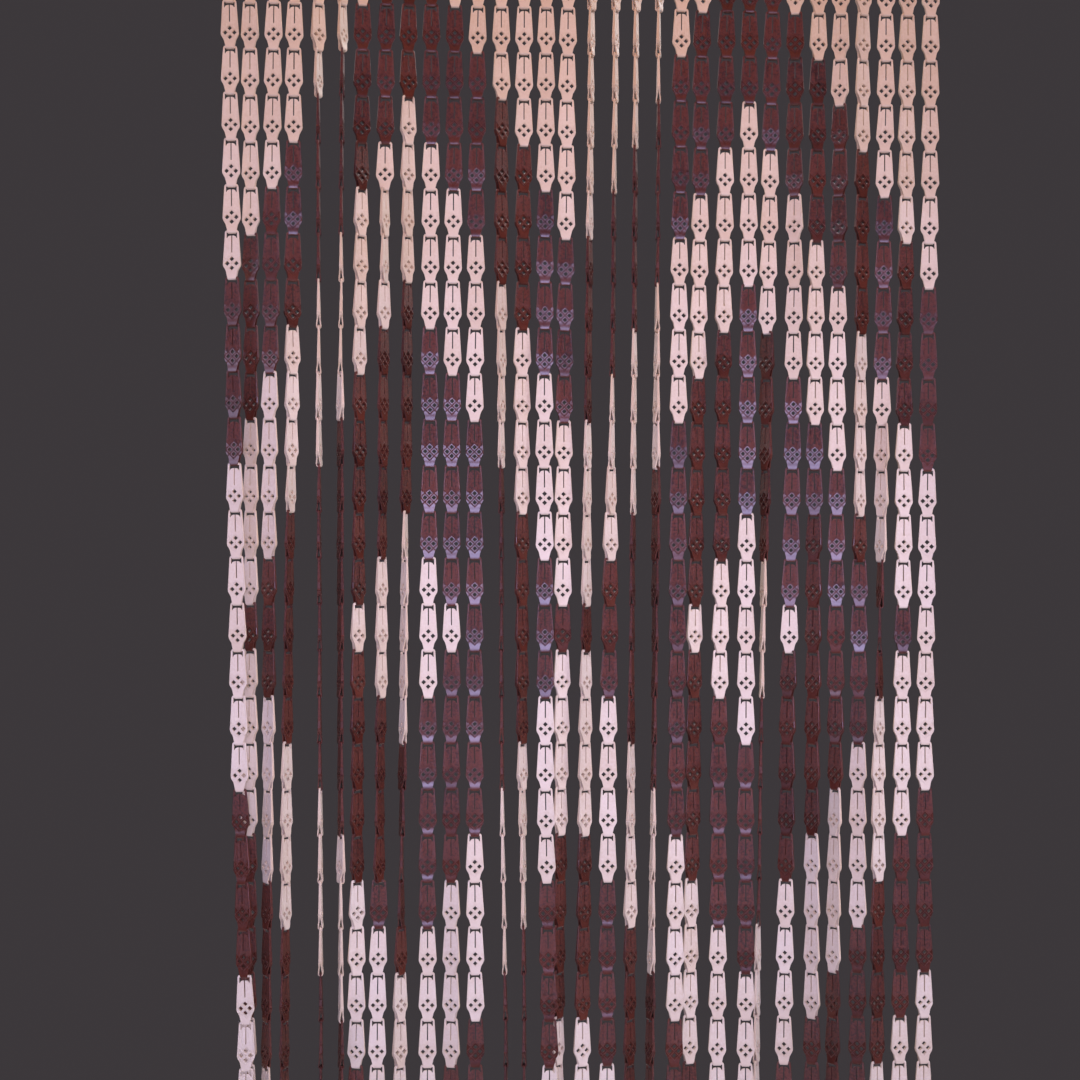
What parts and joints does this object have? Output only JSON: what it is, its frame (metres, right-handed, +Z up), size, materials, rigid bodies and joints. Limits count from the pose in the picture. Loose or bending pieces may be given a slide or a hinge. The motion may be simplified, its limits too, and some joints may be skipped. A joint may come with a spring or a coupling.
{
  "type": "bead curtain of hooked plastic links",
  "caption": "Door curtain of flat moulded plastic links hooked into hanging strands, in cream and brown nested diamonds, that parts to let people through.",
  "frame": {"origin": "middle of the top edge, where the row of heads is hung", "axes": "+X across the curtain to the right as seen from the front, +Y from the front to the back, +Z up"},
  "size_m": [0.9596, 0.0408, 2.0245],
  "materials": {
    "cream_plastic": "satin moulded plastic",
    "brown_plastic": "glossy moulded plastic"
  },
  "bodies": {
    "root": {"strand_01": "cream_plastic", "strand_02": "cream_plastic", "strand_03": "cream_plastic", "strand_04": "cream_plastic", "strand_05": "cream_plastic", "strand_06": "brown_plastic", "strand_07": "brown_plastic", "strand_08": "brown_plastic", "strand_09": "brown_plastic", "strand_10": "brown_plastic", "strand_11": "brown_plastic", "strand_12": "brown_plastic", "strand_13": "cream_plastic", "strand_14": "cream_plastic", "strand_15": "cream_plastic", "strand_16": "cream_plastic", "strand_17": "cream_plastic", "strand_18": "cream_plastic", "strand_19": "cream_plastic", "strand_20": "cream_plastic", "strand_21": "brown_plastic", "strand_22": "brown_plastic", "strand_23": "brown_plastic", "strand_24": "brown_plastic", "strand_25": "brown_plastic", "strand_26": "brown_plastic", "strand_27": "brown_plastic", "strand_28": "cream_plastic", "strand_29": "cream_plastic", "strand_30": "cream_plastic", "strand_31": "cream_plastic", "strand_32": "cream_plastic"}
  },
  "joints": []
}
